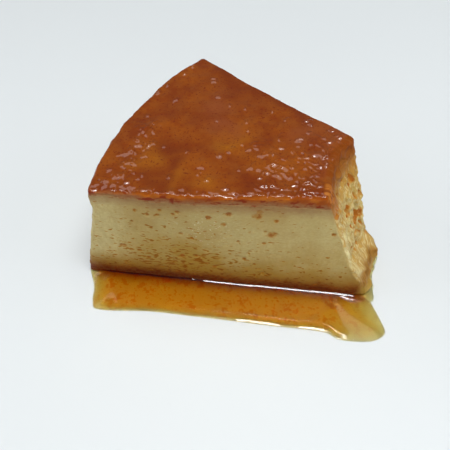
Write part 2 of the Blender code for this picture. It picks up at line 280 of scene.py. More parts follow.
# Low ridges on the top that catch the light, as (x, y, half length, degrees from the x axis)
MARKS = (
    (-0.0849, 0.0711, 0.0007, 40.0), (-0.0877, 0.0659, 0.0008, 50.0), (-0.0936, 0.059, 0.0008, 20.0),
    (-0.0905, 0.0505, 0.0012, 60.0), (-0.0767, 0.0612, 0.0012, 0.0), (-0.0973, 0.037, 0.0026, 55.0),
    (-0.0996, 0.0334, 0.0022, 50.0), (-0.0966, 0.0271, 0.0016, 30.0), (-0.0982, 0.0258, 0.0014, 55.0),
    (-0.1027, 0.0238, 0.0016, -40.0), (-0.104, 0.0192, 0.0013, 35.0), (-0.1084, 0.0148, 0.0012, 40.0),
    (-0.1012, 0.0138, 0.0006, 0.0), (-0.1028, 0.0096, 0.001, 10.0), (-0.0982, 0.0133, 0.0006, 20.0),
    (-0.0653, 0.038, 0.001, 80.0), (-0.052, 0.0394, 0.0013, 30.0), (-0.0449, 0.038, 0.0015, 20.0),
    (-0.0547, 0.0301, 0.0018, 75.0), (-0.0625, 0.0258, 0.0016, 10.0), (-0.0654, 0.024, 0.0012, 30.0),
    (-0.0546, 0.0246, 0.001, -20.0), (-0.0486, 0.0285, 0.0012, 15.0), (-0.0468, 0.0193, 0.002, -10.0),
    (-0.0406, 0.022, 0.002, 80.0), (-0.0388, 0.0265, 0.0016, 60.0), (-0.0645, 0.0166, 0.0018, 45.0),
    (-0.0575, 0.0166, 0.0022, 0.0), (-0.0566, 0.0152, 0.0024, 55.0), (-0.0584, 0.0146, 0.0018, -50.0),
    (-0.0556, 0.0126, 0.0024, 5.0), (-0.0615, 0.0126, 0.0018, 45.0), (-0.0602, 0.0075, 0.0022, -5.0),
    (-0.0558, 0.0063, 0.001, 60.0), (-0.0502, 0.0079, 0.0024, 80.0), (-0.0479, 0.0091, 0.0014, 0.0),
    (-0.0452, 0.0124, 0.0018, 20.0), (-0.0414, 0.0175, 0.0016, 80.0), (-0.0347, 0.0299, 0.0014, 45.0),
    (-0.0709, 0.0236, 0.0016, 40.0), (-0.0744, 0.0213, 0.0008, 60.0), (-0.081, 0.0137, 0.0009, 70.0),
    (-0.0785, 0.0111, 0.001, 80.0), (-0.0728, 0.0072, 0.0012, 40.0),
)

# Caramel-filled holes in the front cut, as (radius, height, half width)
FRONT_HOLES = (
    (0.0579, 0.0314, 0.0016), (0.0603, 0.0329, 0.0006), (0.0632, 0.04, 0.0016), (0.0626, 0.0418, 0.001),
    (0.0386, 0.0324, 0.0009), (0.0719, 0.0404, 0.0012), (0.0736, 0.0357, 0.0009), (0.0572, 0.038, 0.0008),
    (0.0784, 0.0386, 0.0011), (0.0878, 0.0406, 0.0009), (0.0893, 0.0395, 0.0007), (0.0941, 0.0387, 0.0008),
    (0.0951, 0.0382, 0.0005), (0.0932, 0.0412, 0.0007), (0.0976, 0.0385, 0.0008), (0.1011, 0.0402, 0.0008),
    (0.0877, 0.0295, 0.0008), (0.097, 0.0318, 0.0006), (0.103, 0.0344, 0.0006), (0.0841, 0.0277, 0.0006),
    (0.1082, 0.0203, 0.0013), (0.1027, 0.0183, 0.0009), (0.088, 0.0166, 0.0011), (0.1001, 0.0143, 0.0009),
    (0.0829, 0.0172, 0.0008), (0.0687, 0.0272, 0.0007), (0.0604, 0.0271, 0.0007), (0.0667, 0.0178, 0.0008),
    (0.0599, 0.01, 0.0008), (0.0631, 0.0149, 0.0006), (0.0769, 0.0119, 0.0008),
)

# Pits in the torn inner wall, as (degrees round the ring's axis, height, half width)
WALL_PITS = (
    (145.2, 0.0371, 0.001), (143.5, 0.0359, 0.001), (140.0, 0.036, 0.0011), (145.2, 0.0303, 0.0008),
    (139.2, 0.0292, 0.001), (161.2, 0.0379, 0.0006), (154.7, 0.028, 0.0006), (153.5, 0.0265, 0.0006),
    (142.8, 0.0209, 0.0014), (139.8, 0.0208, 0.0013), (146.8, 0.0206, 0.0014), (150.5, 0.019, 0.001),
    (154.5, 0.0214, 0.0006), (149.4, 0.0161, 0.0007), (167.4, 0.017, 0.0005), (164.0, 0.0166, 0.0006),
    (164.5, 0.014, 0.0005), (151.8, 0.0122, 0.0006),
)

# The camera of the photograph
LOOK_AT = (-0.00375, -0.00158, 0.0)
CAMERA_DISTANCE = 0.19641
CAMERA_ELEVATION = math.radians(50.767)
CAMERA_ROLL = math.radians(-0.418)
LENS = 38.42
SENSOR_WIDTH = 36.0

# The floor lies a hair above the bases, so that no two faces coincide
FLOOR_REACH = 2.0
FLOOR_LEVEL = 0.00005
FLOOR_COLOUR = (0.69, 0.73, 0.745, 1.0)
ROOM_COLOUR = (0.97, 0.99, 1.0, 1.0)
ROOM_STRENGTH = 0.11

# Soft lights, as (name, place, (width, height), radiance, x of the point that it faces)
LIGHTS = (
    ("ceiling_light", (0.08, 0.16, 1.45), (1.9, 0.8), 1.6, 0.0),
    ("near_light", (0.15, -0.28, 1.22), (0.66, 0.4), 5.6, 0.15),
    ("spark_light", (0.17, -0.28, 1.21), (0.76, 0.12), 22.0, 0.17),
    ("front_light", (-0.2, -2.2, 0.45), (3.2, 0.8), 1.7, 0.0),
    ("right_light", (1.9, -0.2, 1.0), (1.6, 1.2), 1.0, 0.0),
    ("left_light", (-1.9, 0.2, 0.8), (1.6, 1.0), 2.2, 0.0),
)
AIM_HEIGHT = 0.02


def mix(a, b, t):
    return a + (b - a) * t


def smooth_step(t):
    t = np.clip(t, 0.0, 1.0)
    return t * t * (3.0 - 2.0 * t)


def fade(values, none, full):
    """A smooth share of 0 at one value and 1 at another, which may be the lower one."""
    return smooth_step((values - none) / (full - none))


def polar(points):
    """Radius and angle of points about the ring's axis."""
    return np.hypot(points[:, 0], points[:, 1]), np.arctan2(points[:, 1], points[:, 0])


def lumps(points, relief, seed):
    """Heights of a random relief at an array of points."""
    depth, across = relief[:2]
    widths = np.array((across, across, relief[-1]))
    places = points / widths + np.array((seed, -seed, 2.3 * seed))
    return depth * np.array([noise.noise(place) for place in places.tolist()])


def shared_lumps(points, *layers):
    """The sum of such reliefs, as (share, relief, seed), worked out only where there is a share."""
    heights = np.zeros(len(points))
    for share, relief, seed in layers:
        here = share > 0.0
        heights[here] += lumps(points[here], relief, seed) * share[here]
    return heights


def patches(points, places):
    """How much of each named patch there is at the points, from 0 to about 1."""
    total = np.zeros(len(points))
    for x, y, reach in places:
        away = np.hypot(points[:, 0] - x, points[:, 1] - y) / reach
        total = np.maximum(total, np.exp(-(away**2)))
    return total


def clouds(radius, height, places):
    """The same for soft clouds on a cut, as (radius, reach, height, reach, share)."""
    total = 0.0
    for middle, reach, level, rise, share in places:
        away = ((radius - middle) / reach) ** 2 + ((height - level) / rise) ** 2
        total = np.maximum(total, share * np.exp(-away))
    return total


def distance_to_path(points, path):
    """Distance in plan from each point to a path of straight runs."""
    nearest = np.full(len(points), np.inf)
    for start, end in zip(path, path[1:]):
        run = np.subtract(end, start)
        t = np.clip(((points[:, :2] - start) @ run) / (run @ run), 0.0, 1.0)
        foot = np.array(start) + t[:, None] * run
        nearest = np.minimum(nearest, np.hypot(*(points[:, :2] - foot).T))
    return nearest


def crowded(steps, crowding=CROWDING):
    """Numbers from 0 to 1 in steps that are shorter towards both ends."""
    t = np.arange(steps + 1) / steps
    return np.round(t - crowding * np.sin(2.0 * np.pi * t) / (2.0 * np.pi), 9)


def base_round(z, radius):
    """How far a side draws in near its bottom edge, to round it."""
    drop = np.clip(radius - z, 0.0, radius)
    return radius - np.sqrt(radius**2 - drop**2)


def outer_radius(v, z):
    slump = OUTER_SLUMP * np.sin(2.0 * np.pi * (z - SLUMP_START) / SLUMP_HEIGHT)
    lip = mix(*OUTER_LIP, smooth_step(v / OUTER_LIP_END))
    lip *= fade(z, OUTER_LIP_START, HEIGHT)
    foot = OUTER_SPREAD * smooth_step(1.0 - z / OUTER_SPREAD_HEIGHT)
    radius = OUTER_TOP_RADIUS + OUTER_LEAN * (HEIGHT - z) + lip + slump + foot
    return radius - base_round(z, OUTER_BASE_ROUND)


def inner_radius(v, z):
    rise = 1.0 - z / mix(*FOOT_HEIGHT, v)
    foot = mix(*FOOT_SPREAD, v**2) * smooth_step(mix(*FOOT_STEEPNESS, v) * rise)
    return INNER_TOP_RADIUS - INNER_LEAN * (HEIGHT - z) - foot + base_round(z, INNER_BASE_ROUND)


def front_angle(radius, u, z):
    base = FRONT_BASE_OFFSET - FRONT_BASE_TWIST * (radius - INNER_FOOT_RADIUS)
    bow = FRONT_BOW * np.sin(np.pi * u) * z / HEIGHT
    offset = mix(base, FRONT_TOP_OFFSET, z / HEIGHT) + bow - base_round(z, CUT_BASE_ROUND)
    return FRONT_CUT + offset / radius


def back_angle(radius, u, z):
    bow = BACK_BOW * np.sin(np.pi * u) * z / HEIGHT
    return BACK_CUT + (bow - BACK_STEP + base_round(z, CUT_BASE_ROUND)) / radius


def corner_shape(inner, front, z):
    """The rounding in plan of the corners: reach across the slice, reach along it, and power."""
    toe = np.clip(1.0 - z / TOE_HEIGHT, 0.0, 1.0)
    power = np.where(inner & front, mix(ROUND_POWER, TOE_POWER, toe), ROUND_POWER)

    def reach(toe_reach):
        at_inner = np.where(front, mix(CORNER_ROUND, toe_reach, toe), BACK_CORNER_ROUND)
        return np.where(inner, at_inner, CORNER_ROUND)

    return reach(TOE_ACROSS), reach(TOE_ALONG), power


def plan(u, v, z, inset=0.0):
    """Points of the slice at (u, v) and height z, the outward directions there, and the shares of the
    inner wall, the outer wall, the front cut and the back cut in them.
    """
    outer = outer_radius(v, z) - inset
    inner = inner_radius(v, z) + inset
    radius = mix(outer, inner, u)
    front = front_angle(radius, u, z) - inset / radius
    back = back_angle(radius, u, z) + inset / radius
    across = outer - inner
    along = radius * (front - back)

    reach_across, reach_along, power = corner_shape(u > 0.5, v < 0.5, z)
    to_inner = np.maximum(0.0, 1.0 - (1.0 - u) * across / reach_across)
    to_outer = np.maximum(0.0, 1.0 - u * across / reach_across)
    to_front = np.maximum(0.0, 1.0 - v * along / reach_along)
    to_back = np.maximum(0.0, 1.0 - (1.0 - v) * along / reach_along)
    inward = to_inner - to_outer
    backward = to_back - to_front
    largest = np.maximum(abs(inward), abs(backward))
    length = np.maximum(abs(inward) ** power + abs(backward) ** power, 1e-12) ** (1.0 / power)
    shrink = np.where(largest > 0.0, largest / length - 1.0, 0.0)
    radius = radius - reach_across * shrink * inward
    angle = mix(front, back, v) - reach_along * shrink * backward / radius

    cos, sin = np.cos(angle), np.sin(angle)
    flat = np.zeros_like(angle)
    outward = np.stack((-cos * inward + sin * backward, -sin * inward - cos * backward, flat), 1)
    outward /= np.maximum(np.hypot(inward, backward), 1e-9)[:, None]
    points = np.stack((radius * cos, radius * sin, z + flat), 1)
    return points, outward, (to_inner, to_outer, to_front, to_back)


def interface_height(u, v):
    """Height of the caramel's underside."""
    points, _, _ = plan(u, v, np.full(len(u), HEIGHT))
    thickness = mix(CARAMEL_OUTER, CARAMEL_MIDDLE, smooth_step(u / CARAMEL_MIDDLE_FROM))
    thickness += (CARAMEL_INNER - CARAMEL_MIDDLE) * fade(u, CARAMEL_MIDDLE_TO, 1.0)
    return HEIGHT - thickness - lumps(points, CARAMEL_WAVE, 5.0)


def pores(seed):
    """Small pores of a cut as (radius, height, half width): most lie low and towards the outer wall."""
    draw = np.random.default_rng(seed)
    radius = draw.uniform(*PORE_RADII, PORE_COUNT)
    height = draw.uniform(*PORE_HEIGHTS, PORE_COUNT)
    crowd = clouds(radius, height, PORE_CLOUDS)
    keep = draw.uniform(0.0, 1.0, PORE_COUNT) < mix(PORES_ELSEWHERE, 1.0, crowd)
    half_width = draw.uniform(*PORE_SIZES, PORE_COUNT)
    return list(zip(radius[keep], height[keep], half_width[keep]))


# Holes and pores of the front cut and of the back cut, which has the front's holes upside down
BACK_HOLES = tuple((radius + 0.004, 0.052 - height, width) for radius, height, width in FRONT_HOLES)
HOLES = (FRONT_HOLES, BACK_HOLES)
PORES = (pores(5), pores(8))


def hole_share(points, holes, squash):
    """How deep in a hole each point of a cut is, from 0 to 1."""
    radius, _ = polar(points)
    share = np.zeros(len(points))
    for place, height, half_width in holes:
        across = (radius - place) / half_width
        up = (points[:, 2] - height) / (half_width * squash)
        share = np.maximum(share, np.exp(-((across**2 + up**2) ** 1.5)))
    return share


def wall_pit_share(points):
    """How deep in a named pit of the inner wall each point is, with ragged edges."""
    radius, angle = polar(points)
    ragged = shared_lumps(points, ((radius < 0.05) * 1.0, PIT_RAGGEDNESS, 45.0))
    share = np.zeros(len(points))
    for place, height, half_width in WALL_PITS:
        across = (angle - math.radians(place)) * radius / half_width
        up = (points[:, 2] - height) / (half_width * PIT_TALLNESS)
        share = np.maximum(share, fade(np.hypot(across, up) - ragged, *PIT_EDGE))
    return share


def horn_height(points):
    """The flap of skin that sticks out of the foot by the back cut, like a small horn."""
    degrees, height, reach = HORN_PLACE
    radius, angle = polar(points)
    across = radius * (angle - math.radians(degrees)) / reach
    rise = points[:, 2] - height
    up = rise / np.where(rise > 0.0, *HORN_FADE)
    return HORN_HEIGHT * np.exp(-(across**2) - up**2)


def torn_relief(points, inner, back, below):
    """Relief of the torn inner wall, and what its material needs to know: where the foot's skin, the pits
    and the strands of caramel are, the way round the wall, across its fibres and up its profile.
    """
    z = points[:, 2]
    radius, angle = polar(points)
    arc = angle * FIBRE_RADIUS
    run = z - np.maximum(0.0, INNER_TOP_RADIUS - INNER_LEAN * (HEIGHT - z) - radius)
    across = arc + FIBRE_SLANT * np.minimum(0.0, run - FIBRE_BEND)
    unrolled = np.column_stack((across, np.zeros(len(arc)), run))

    skin = inner * fade(z + shared_lumps(points, (inner, SKIN_WAVE, 97.0)), *SKIN_HEIGHTS)
    torn = inner * (1.0 - SKIN_SMOOTHNESS * skin) * fade(below, *TORN_START)
    crumbly = np.minimum(1.0, 4.0 * torn * back)
    lumpy = (torn, TORN_LUMP, 31.0), (torn, TORN_GRAIN, 37.0), (crumbly, CORNER_CRUMB, 107.0)
    relief = shared_lumps(points, *lumpy)
    relief += shared_lumps(unrolled, (torn * fade(z, *STREAK_HEIGHTS), TORN_STREAK, 41.0))
    hollows = fade(shared_lumps(points, (torn, (1.0, *PIT_WIDTH), 43.0)), *PIT_CUTOFF)
    pit = np.maximum(torn * fade(z, *PIT_HEIGHTS) * hollows, inner * wall_pit_share(points))
    relief += inner * horn_height(points) - PIT_DEPTH * pit
    strands = inner * fade(np.degrees(angle), *STRAND_DEGREES) * fade(z, *STRAND_HEIGHTS)
    return relief, {"skin": skin, "pit": pit, "strands": strands, "arc": arc, "across": across, "run": run}


def cut_relief(points, inner, front, back):
    """Relief of the two cuts, and how deep in a hole or pore each point is."""
    smooth_cut = np.maximum(front, back) * (1.0 - TORN_CORNER * inner)
    relief = shared_lumps(points, (smooth_cut, CUT_RIPPLE, 47.0), (smooth_cut, CUT_GRAIN, 53.0))
    spots = []
    for (on_front, on_back), squash in ((HOLES, HOLE_SQUASH), (PORES, PORE_SQUASH)):
        front_share = front * hole_share(points, on_front, squash)
        spots.append(np.maximum(front_share, back * hole_share(points, on_back, squash)))
    hole, pore = spots
    return relief - HOLE_DEPTH * hole - PORE_DEPTH * pore, np.maximum(hole, PORE_SHARE * pore)


def surface(u, v, z, inset=0.0, below=1.0):
    """Points of the slice's skin with all their relief, the outward directions, and what the materials
    need to know there. below is the distance under the caramel.
    """
    points, outward, (inner, outer, front, back) = plan(u, v, z, inset)
    cut = np.maximum(front, back)
    walls = (inner, INNER_CRAG, 3.1), (inner, INNER_GRAIN, 7.7), (outer, OUTER_DIMPLE, 11.3)
    as_solid = shared_lumps(points, *walls, (cut, CUT_WAVE, 17.9)) / np.maximum(1.0, inner + outer + cut)
    torn, facts = torn_relief(points, inner, back, below)
    cuts, hole = cut_relief(points, inner, front, back)
    facts.update(inner=inner, outer=outer, hole=hole)
    relief = as_solid + torn + cuts + shared_lumps(points, (outer, OUTER_BUMP, 59.0))
    return points + outward * relief[:, None], outward, facts


def perimeter(radial_steps=RADIAL_STEPS, angle_steps=ANGLE_STEPS):
    """The (u, v) of the points round the slice, counter-clockwise seen from above."""
    across = crowded(radial_steps)
    along = crowded(angle_steps)
    u = np.concatenate((across[:-1], np.ones(angle_steps), across[:0:-1], np.zeros(angle_steps)))
    v = np.concatenate((np.zeros(radial_steps), along[:-1], np.ones(radial_steps), along[:0:-1]))
    return u, v


def bands(ring_count, count, closed=False):
    """Faces between rings of equal count that follow each other, facing outwards."""
    low = np.arange(ring_count if closed else ring_count - 1)[:, None] * count
    high = (low + count) % (ring_count * count)
    here = np.arange(count)[None, :]
    after = (here + 1) % count
    faces = np.stack((low + here, low + after, high + after, high + here), 2)
    return faces.reshape(-1, 4).tolist()


def add_object(name, data):
    obj = bpy.data.objects.new(name, data)
    bpy.context.scene.collection.objects.link(obj)
    return obj


def mesh_object(name, vertices, faces, material, facts=None):
    """A smooth mesh on the ring's axis, with facts as attributes of its points."""
    mesh = bpy.data.meshes.new(name)
    mesh.from_pydata(vertices.tolist(), [], faces)
    mesh.update()
    mesh.shade_smooth()
    for key, values in (facts or {}).items():
        attribute = mesh.attributes.new(key, "FLOAT", "POINT")
        attribute.data.foreach_set("value", np.asarray(values, np.float32))
    mesh.materials.append(material)
    obj = add_object(name, mesh)
    obj.location = (*RING_AXIS, 0.0)
    return obj


class Shader:
    """A Principled material whose nodes are added one at a time."""

    def __init__(self, name):
        self.material = bpy.data.materials.new(name)
        self.material.use_nodes = True
        self.tree = self.material.node_tree
        self.principled = self.tree.nodes["Principled BSDF"]
        self.position = self.add("TexCoord").outputs["Object"]

    def plug(self, socket, value):
        if isinstance(value, bpy.types.NodeSocket):
            self.tree.links.new(value, socket)
        else:
            socket.default_value = value

    def add(self, kind, inputs=None, **settings):
        node = self.tree.nodes.new("ShaderNode" + kind)
        for key, value in settings.items():
            setattr(node, key, value)
        for key, value in (inputs or {}).items():
            self.plug(node.inputs[key], value)
        return node

    def set(self, **values):
        """Sets the Principled shader's inputs, with _ for the spaces in their names."""
        for key, value in values.items():
            self.plug(self.principled.inputs[key.replace("_", " ")], value)

    def attribute(self, name):
        return self.add("Attribute", attribute_name=name).outputs["Fac"]

    def math(self, operation, a, b=0.0, c=0.0):
        return self.add("Math", {0: a, 1: b, 2: c}, operation=operation).outputs[0]

    def times(self, first, *others):
        for other in others:
            first = self.math("MULTIPLY", first, other)
        return first

    def coats(self, colour, *coats):
        """A colour under coats of (share, colour) or (share, colour, blend type)."""
        for share, *over in coats:
            colour = self.blend(share, colour, *over)
        return colour

    def shaken(self, value, noise, reach, shift=0.0):
        """A value moved up and down by a noise, by up to about the reach, and shifted."""
        return self.math("ADD", value, self.math("MULTIPLY_ADD", noise, 2.0 * reach, shift - reach))

    def height(self):
        return self.add("SeparateXYZ", {0: self.position}).outputs["Z"]

    def noise(self, width, detail=2.0, roughness=0.5, stretch=(1.0, 1.0, 1.0), place=None):
        """Noise from 0 to 1 with lumps of a width in metres, drawn out by stretch."""
        scale = tuple(1.0 / (width * s) for s in stretch)
        place = self.add("Mapping", {"Vector": place or self.position, "Scale": scale})
        inputs = {"Vector": place.outputs[0], "Scale": 1.0, "Detail": detail, "Roughness": roughness}
        return self.add("TexNoise", inputs).outputs["Fac"]

    def range(self, value, low, high, start=0.0, end=1.0):
        """A smooth ramp from start at low to end at high."""
        inputs = {"Value": value, "From Min": low, "From Max": high, "To Min": start, "To Max": end}
        return self.add("MapRange", inputs, interpolation_type="SMOOTHSTEP").outputs["Result"]

    def unrolled(self):
        """Positions on the inner wall as (way across its fibres, 0, way up its profile)."""
        inputs = {"X": self.attribute("across"), "Z": self.attribute("run")}
        return self.add("CombineXYZ", inputs).outputs[0]

    def wavy(self, width, reach, place=None):
        """Positions that wander sideways by up to about the reach, in waves of a width."""
        place = place or self.position
        scale = {"Vector": place, "Scale": 1.0 / width, "Detail": 1.0}
        waves = self.add("TexNoise", scale).outputs["Color"]
        centred = self.add("VectorMath", {0: waves, 1: (0.5,) * 3}, operation="SUBTRACT")
        inputs = {0: centred.outputs[0], 1: (2.0 * reach,) * 3, 2: place}
        return self.add("VectorMath", inputs, operation="MULTIPLY_ADD").outputs[0]

    def ramp(self, value, *stops):
        """Colours at values in metres, blended in between."""
        start, end = stops[0][0], stops[-1][0]
        inputs = {"Value": value, "From Min": start, "From Max": end}
        place = self.add("MapRange", inputs).outputs["Result"]
        node = self.add("ValToRGB", {"Fac": place})
        while len(node.color_ramp.elements) < len(stops):
            node.color_ramp.elements.new(0.5)
        for element, (at, colour) in zip(node.color_ramp.elements, stops):
            element.position = (at - start) / (end - start)
            element.color = (*colour, 1.0)
        return node.outputs["Color"]

    def blend(self, factor, a, b, blend_type="MIX"):
        node = self.add("Mix", data_type="RGBA", blend_type=blend_type)
        self.plug(node.inputs[0], factor)
        for socket, value in ((node.inputs[6], a), (node.inputs[7], b)):
            self.plug(socket, value if isinstance(value, bpy.types.NodeSocket) else (*value, 1.0))
        return node.outputs[2]

    def bump(self, height, distance, strength, under=None):
        inputs = {"Height": height, "Distance": distance, "Strength": strength}
        if under is not None:
            inputs["Normal"] = under
        return self.add("Bump", inputs).outputs["Normal"]


def wall_colours(s):
    """Colours of the torn inner wall, from the soaked foot to the caramel: pale wavy fibres."""
    place = s.unrolled()
    height = s.shaken(s.height(), s.noise(0.005), 0.0025)
    fibre = s.noise(0.0006, 3.0, 0.65, (1.0, 1.0, 5.0), s.wavy(0.004, 0.0012, place))
    cell = s.noise(0.0018, 3.0, 0.6, (1.0, 1.0, 1.8), s.wavy(0.003, 0.001, place))
    crumb = s.noise(0.0013, 3.0, 0.65)
    low = s.times(s.range(height, 0.035, 0.043, 1.0, 0.04), s.range(height, 0.004, 0.012, 0.3, 1.0))
    corner = s.times(
        s.range(s.attribute("arc"), 0.087, 0.0905),
        s.range(height, 0.036, 0.028),
        s.range(height, 0.002, 0.007, 0.0, 0.7),
        s.range(fibre, 0.56, 0.42, 0.3, 1.0),
    )
    bare = s.times(s.range(height, 0.03, 0.038, 0.35, 0.0), s.range(height, 0.008, 0.018, 0.3, 1.0))
    pit = s.attribute("pit")
    body = s.coats(
        s.ramp(height, *WALL_COLOURS),
        (s.times(s.range(fibre, 0.51, 0.6, 0.0, 0.65), low), (0.43, 0.23, 0.042)),
        (s.times(s.range(fibre, 0.48, 0.4, 0.0, 0.6), low), (0.7, 0.6, 0.31)),
        (corner, (0.66, 0.57, 0.29)),
        (s.times(s.range(crumb, 0.5, 0.36), bare), (0.66, 0.55, 0.27)),
        (s.times(s.range(cell, 0.53, 0.66, 0.0, 0.7), low), (0.46, 0.255, 0.04)),
        (s.times(s.attribute("strands"), s.range(fibre, 0.47, 0.53)), (0.42, 0.14, 0.022)),
        (s.range(pit, 0.05, 0.7, 0.0, 0.8), (0.44, 0.19, 0.022)),
        (s.range(s.times(pit, s.range(cell, 0.35, 0.6)), 0.3, 0.8), (0.35, 0.11, 0.009)),
    )
    return body, fibre


def line_colours(s, rise, custard, caramel):
    """Blends custard into caramel at the line between them; rise is the height above it. Dark clots sit
    on the line here and there, over a brownish haze.
    """
    rise = s.shaken(rise, s.noise(0.001, 3.0, 0.65), 0.0012, -0.0015)
    rise = s.shaken(rise, s.noise(0.004, 2.0, 0.5, (1.3, 1.3, 0.8)), 0.0015)
    clot = s.range(s.noise(0.002, 2.0, 0.5, (1.5, 1.5, 0.7)), 0.5, 0.62, 0.0, 0.95)
    near = s.times(s.range(rise, 0.0018, 0.0004), s.range(rise, -0.0022, -0.0008))
    return s.coats(
        custard,
        (s.range(rise, -0.0068, -0.0008, 0.0, 0.85), (0.26, 0.125, 0.05)),
        (s.range(rise, -0.002, -0.0002, 0.0, 0.75), (0.26, 0.075, 0.018)),
        (s.range(rise, -0.0006, 0.001), caramel),
        (s.times(clot, near), (0.2, 0.022, 0.002)),
    )


def cut_colours(s, soak, crowd):
    """The cut custard's colour: a gradient up from the soaked foot, with golden, pale and hazy places."""
    cloud = s.noise(0.013)
    light = s.times(s.range(cloud, 0.45, 0.62, 0.0, 0.6), s.range(soak, 0.008, 0.018))
    gold = s.math("MAXIMUM", s.attribute("gold"), s.times(crowd, 0.75))
    gold = s.times(gold, s.range(cloud, 0.6, 0.4, 0.6, 1.0))
    hair = s.noise(0.0012, 3.0, 0.6, (1.0, 1.0, 4.0), s.wavy(0.008, 0.002))
    grain = s.noise(0.0007, 2.0, 0.6, (1.6, 1.0, 0.8))
    return s.coats(
        s.ramp(soak, *CUT_COLOURS),
        (light, (0.46, 0.37, 0.155)),
        (s.times(s.range(gold, 0.05, 0.75, 0.0, 0.55), s.range(soak, 0.004, 0.009)), (0.35, 0.195, 0.018)),
        (s.times(s.attribute("pale"), s.range(hair, 0.35, 0.65, 0.55, 0.95)), (0.56, 0.465, 0.215)),
        (s.range(grain, 0.4, 0.6, 0.0, 0.18), (0.31, 0.19, 0.05)),
    )


def cut_spots(s, body, soak, crowd):
    """Adds dashes of caramel and caramel-filled holes to a cut, and says where they are."""
    dashes = s.noise(0.0012, 1.5, 0.5, (1.9, 1.0, 0.75), s.wavy(0.004, 0.0009))
    excess = s.math("ADD", dashes, s.math("MULTIPLY_ADD", crowd, 0.165, -0.705))
    dash = s.times(s.range(excess, -0.02, 0.025), s.range(soak, 0.0015, 0.006, 0.4, 1.0))
    core = s.times(s.range(excess, 0.03, 0.07), s.range(soak, 0.002, 0.006))
    ragged = s.times(s.attribute("hole"), s.range(s.noise(0.0014), 0.4, 0.6, 0.65, 1.35))
    hole = s.range(ragged, 0.1, 0.6)
    body = s.coats(
        body,
        (s.times(dash, 0.85), (0.8, 0.5, 0.1), "MULTIPLY"),
        (s.times(core, 0.7), (0.8, 0.56, 0.4), "MULTIPLY"),
        (s.times(hole, 0.7), (0.335, 0.145, 0.014)),
        (s.range(ragged, 0.6, 0.95, 0.0, 0.75), (0.27, 0.075, 0.006)),
    )
    return body, s.math("MAXIMUM", core, hole)


def foot_skin(s, body):
    """Adds the veined skin of the foot, and the dark line under its front corner."""
    vein = s.noise(0.0013, 3.0, 0.6, (1.0, 1.0, 4.0), s.unrolled())
    low = s.range(s.height(), 0.0008, 0.0018, 0.8, 0.0)
    line = s.times(low, s.attribute("inner"), s.range(s.attribute("arc"), 0.085, 0.0885))
    skin = s.coats(
        (0.31, 0.15, 0.026),
        (s.range(vein, 0.42, 0.62), (0.22, 0.094, 0.014)),
        (s.range(s.height(), 0.004, 0.008, 0.85, 0.0), (0.44, 0.28, 0.05)),
    )
    return s.coats(body, (s.attribute("skin"), skin), (line, (0.16, 0.032, 0.004)))


def custard_material():
    """Set custard: knife cuts with pores and painted glints, a torn inner wall and the foot's skin."""
    s = Shader("custard_look")
    fuzz = s.noise(0.0011, 3.0, 0.6)
    inner = s.attribute("inner")
    crowd = s.attribute("crowd")
    soak = s.math("MULTIPLY_ADD", s.attribute("outer"), -0.001, s.height())
    soak = s.shaken(soak, fuzz, 0.0015)
    soak = s.shaken(soak, s.noise(0.006, 3.0), 0.002)
    body = cut_colours(s, soak, crowd)
    body, spot = cut_spots(s, body, soak, crowd)
    body = line_colours(s, s.times(s.attribute("below"), -1.0), body, (0.33, 0.08, 0.006))

    wall, fibre = wall_colours(s)
    body = s.blend(s.range(inner, 0.15, 0.85), body, wall)
    body = foot_skin(s, body)
    # Painted highlights: pale specks that stand in for glints of the wet cut
    painted_glint = s.noise(0.0005, 2.0, 0.5, (2.4, 1.0, 0.9), s.wavy(0.005, 0.0016))
    painted_glint = s.times(s.range(painted_glint, 0.62, 0.7), s.attribute("painted_glint_zone"))
    body = s.blend(s.times(painted_glint, 0.6), body, (0.8, 0.78, 0.6))

    bump = s.bump(fuzz, 0.00022, 0.5)
    bump = s.bump(s.times(spot, -1.0), 0.00006, 0.5, bump)
    bump = s.bump(s.times(fibre, s.range(inner, 0.2, 0.9)), 0.00028, 0.7, bump)
    s.set(Base_Color=body, Normal=bump, Subsurface_Weight=0.2, Subsurface_Scale=0.0012)
    s.set(Roughness=s.range(fuzz, 0.3, 0.7, 0.4, 0.55), Specular_IOR_Level=0.1)
    s.set(Subsurface_Radius=(1.0, 0.6, 0.3))
    return s.material


